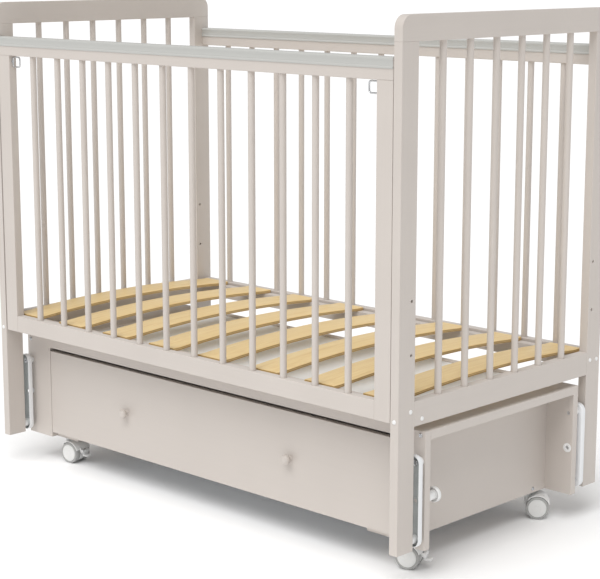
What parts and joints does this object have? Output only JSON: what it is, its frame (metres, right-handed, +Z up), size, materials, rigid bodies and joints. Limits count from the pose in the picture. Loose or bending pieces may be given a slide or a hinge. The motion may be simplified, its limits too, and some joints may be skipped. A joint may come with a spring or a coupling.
{
  "type": "pendulum crib",
  "caption": "Baby crib with bars, hung by swing links from a rolling box that holds a wide drawer; the front side slides down and the slatted base bolts in at several heights.",
  "frame": {"origin": "on the floor, under the middle of the crib", "axes": "+X along the crib to the end seen on the right in the picture, +Y to the back, +Z up; -Y is the side that drops"},
  "size_m": [1.256, 0.6646, 1.095],
  "materials": {
    "painted_beech": "satin warm grey paint",
    "painted_board": "satin warm grey paint",
    "white_hardboard": "smooth white",
    "birch_ply": "clear varnish",
    "plain_beech": "unfinished",
    "grey_plastic": "satin",
    "white_plastic": "satin",
    "castor_plastic": "white with a soft tread",
    "pedal_plastic": "satin",
    "white_enamel": "white powder coat",
    "zinc_steel": "bright zinc"
  },
  "bodies": {
    "box": {"box_front_frame": "painted_board", "box_back_panel": "painted_board", "box_end_shelves": "painted_board", "dust_cover": "white_hardboard", "box_end_panels": "painted_board", "castor_boards": "painted_board", "box_screws": "zinc_steel", "lock_bushes": "white_plastic", "upper_pivot_bolts": "zinc_steel", "upper_pivot_bushes": "white_plastic", "cabinet_runners": "white_enamel", "castor_plates": "zinc_steel"},
    "drawer": {"drawer_front": "painted_board", "drawer_sides": "painted_board", "drawer_back": "painted_board", "drawer_floor": "white_hardboard", "drawer_runners": "white_enamel", "drawer_knobs": "painted_beech"},
    "crib": {"post_front_left": "painted_beech", "post_front_right": "painted_beech", "post_rear_left": "painted_beech", "post_rear_right": "painted_beech", "end_top_rails": "painted_beech", "end_bottom_rails": "painted_beech", "end_bars": "painted_beech", "end_board_dowels": "plain_beech", "rear_top_rail": "painted_beech", "rear_bottom_rail": "painted_beech", "rear_bars": "painted_beech", "rear_teething_cover": "grey_plastic", "base_rails": "painted_beech", "slats": "birch_ply", "front_stretcher": "painted_beech", "cap_screws": "white_enamel", "lower_pivot_bolts": "zinc_steel", "lower_pivot_bushes": "white_plastic", "guide_pins": "zinc_steel"},
    "front_side": {"front_top_rail": "painted_beech", "front_bottom_rail": "painted_beech", "front_stiles": "painted_beech", "front_bars": "painted_beech", "front_teething_cover": "grey_plastic"},
    "latch_left": {"release_latch_left": "zinc_steel"},
    "latch_right": {"release_latch_right": "zinc_steel"},
    "lock_left": {"lock_bolt_left": "white_plastic"},
    "lock_right": {"lock_bolt_right": "white_plastic"},
    "link_front_left": {"swing_link_front_left": "white_enamel"},
    "castor_front_left": {"castor_body_front_left": "white_plastic"},
    "wheels_front_left": {"castor_wheels_front_left": "castor_plastic"},
    "link_front_right": {"swing_link_front_right": "white_enamel"},
    "castor_front_right": {"castor_body_front_right": "white_plastic"},
    "wheels_front_right": {"castor_wheels_front_right": "castor_plastic"},
    "link_rear_left": {"swing_link_rear_left": "white_enamel"},
    "castor_rear_left": {"castor_body_rear_left": "white_plastic"},
    "wheels_rear_left": {"castor_wheels_rear_left": "castor_plastic"},
    "link_rear_right": {"swing_link_rear_right": "white_enamel"},
    "castor_rear_right": {"castor_body_rear_right": "white_plastic"},
    "wheels_rear_right": {"castor_wheels_rear_right": "castor_plastic"},
    "pedal_front_left": {"brake_pedal_front_left": "pedal_plastic"},
    "pedal_front_right": {"brake_pedal_front_right": "pedal_plastic"}
  },
  "joints": [
    {"name": "swing", "type": "hinge", "parent": "box", "child": "link_front_right", "pos_m": [0.6115, -0.27, 0.2425], "axis": [0, 1, 0], "range_deg": [-12, 12]},
    {"name": "crib_level", "type": "hinge", "parent": "link_front_right", "child": "crib", "pos_m": [0.6115, -0.27, 0.0895], "axis": [0, 1, 0], "range_deg": [-12, 12]},
    {"name": "swing_front_left", "type": "hinge", "parent": "box", "child": "link_front_left", "pos_m": [-0.6115, -0.27, 0.2425], "axis": [0, 1, 0], "range_deg": [-12, 12]},
    {"name": "swing_rear_right", "type": "hinge", "parent": "box", "child": "link_rear_right", "pos_m": [0.6115, 0.27, 0.2425], "axis": [0, 1, 0], "range_deg": [-12, 12]},
    {"name": "swing_rear_left", "type": "hinge", "parent": "box", "child": "link_rear_left", "pos_m": [-0.6115, 0.27, 0.2425], "axis": [0, 1, 0], "range_deg": [-12, 12]},
    {"name": "side_drop", "type": "slide", "parent": "crib", "child": "front_side", "axis": [0, 0, 1], "range_m": [-0.15, 0]},
    {"name": "latch_pull_left", "type": "slide", "parent": "front_side", "child": "latch_left", "axis": [1, 0, 0], "range_m": [0, 0.008], "stiffness_N_per_m": 200, "springref_m": -0.01},
    {"name": "latch_pull_right", "type": "slide", "parent": "front_side", "child": "latch_right", "axis": [-1, 0, 0], "range_m": [0, 0.008], "stiffness_N_per_m": 200, "springref_m": -0.01},
    {"name": "drawer_pull", "type": "slide", "parent": "box", "child": "drawer", "axis": [0, -1, 0], "range_m": [0, 0.3]},
    {"name": "lock_pull_left", "type": "slide", "parent": "box", "child": "lock_left", "axis": [0, 1, 0], "range_m": [0, 0.02], "stiffness_N_per_m": 300, "springref_m": -0.01},
    {"name": "lock_pull_right", "type": "slide", "parent": "box", "child": "lock_right", "axis": [0, 1, 0], "range_m": [0, 0.02], "stiffness_N_per_m": 300, "springref_m": -0.01},
    {"name": "castor_turn_front_left", "type": "hinge", "parent": "box", "child": "castor_front_left", "pos_m": [-0.528, -0.212, 0.05], "axis": [0, 0, 1], "continuous": true},
    {"name": "wheel_roll_front_left", "type": "hinge", "parent": "castor_front_left", "child": "wheels_front_left", "pos_m": [-0.50616, -0.20932, 0.025], "axis": [0.1219, -0.9925, 0], "continuous": true},
    {"name": "brake_press_front_left", "type": "hinge", "parent": "castor_front_left", "child": "pedal_front_left", "pos_m": [-0.4749, -0.20548, 0.031], "axis": [-0.1219, 0.9925, 0], "range_deg": [0, 12]},
    {"name": "castor_turn_front_right", "type": "hinge", "parent": "box", "child": "castor_front_right", "pos_m": [0.528, -0.212, 0.05], "axis": [0, 0, 1], "continuous": true},
    {"name": "wheel_roll_front_right", "type": "hinge", "parent": "castor_front_right", "child": "wheels_front_right", "pos_m": [0.54854, -0.20412, 0.025], "axis": [0.3584, -0.9336, 0], "continuous": true},
    {"name": "brake_press_front_right", "type": "hinge", "parent": "castor_front_right", "child": "pedal_front_right", "pos_m": [0.57795, -0.19283, 0.031], "axis": [-0.3584, 0.9336, 0], "range_deg": [0, 12]},
    {"name": "castor_turn_rear_left", "type": "hinge", "parent": "box", "child": "castor_rear_left", "pos_m": [-0.528, 0.212, 0.05], "axis": [0, 0, 1], "continuous": true},
    {"name": "wheel_roll_rear_left", "type": "hinge", "parent": "castor_rear_left", "child": "wheels_rear_left", "pos_m": [-0.50675, 0.21769, 0.025], "axis": [0.2588, -0.9659, 0], "continuous": true},
    {"name": "castor_turn_rear_right", "type": "hinge", "parent": "box", "child": "castor_rear_right", "pos_m": [0.528, 0.212, 0.05], "axis": [0, 0, 1], "continuous": true},
    {"name": "wheel_roll_rear_right", "type": "hinge", "parent": "castor_rear_right", "child": "wheels_rear_right", "pos_m": [0.54557, 0.22524, 0.025], "axis": [0.6018, -0.7986, 0], "continuous": true}
  ],
  "couplings": [
    {"joint": "crib_level", "follows": "swing", "ratio": -1},
    {"joint": "swing_front_left", "follows": "swing", "ratio": 1},
    {"joint": "swing_rear_right", "follows": "swing", "ratio": 1},
    {"joint": "swing_rear_left", "follows": "swing", "ratio": 1}
  ]
}
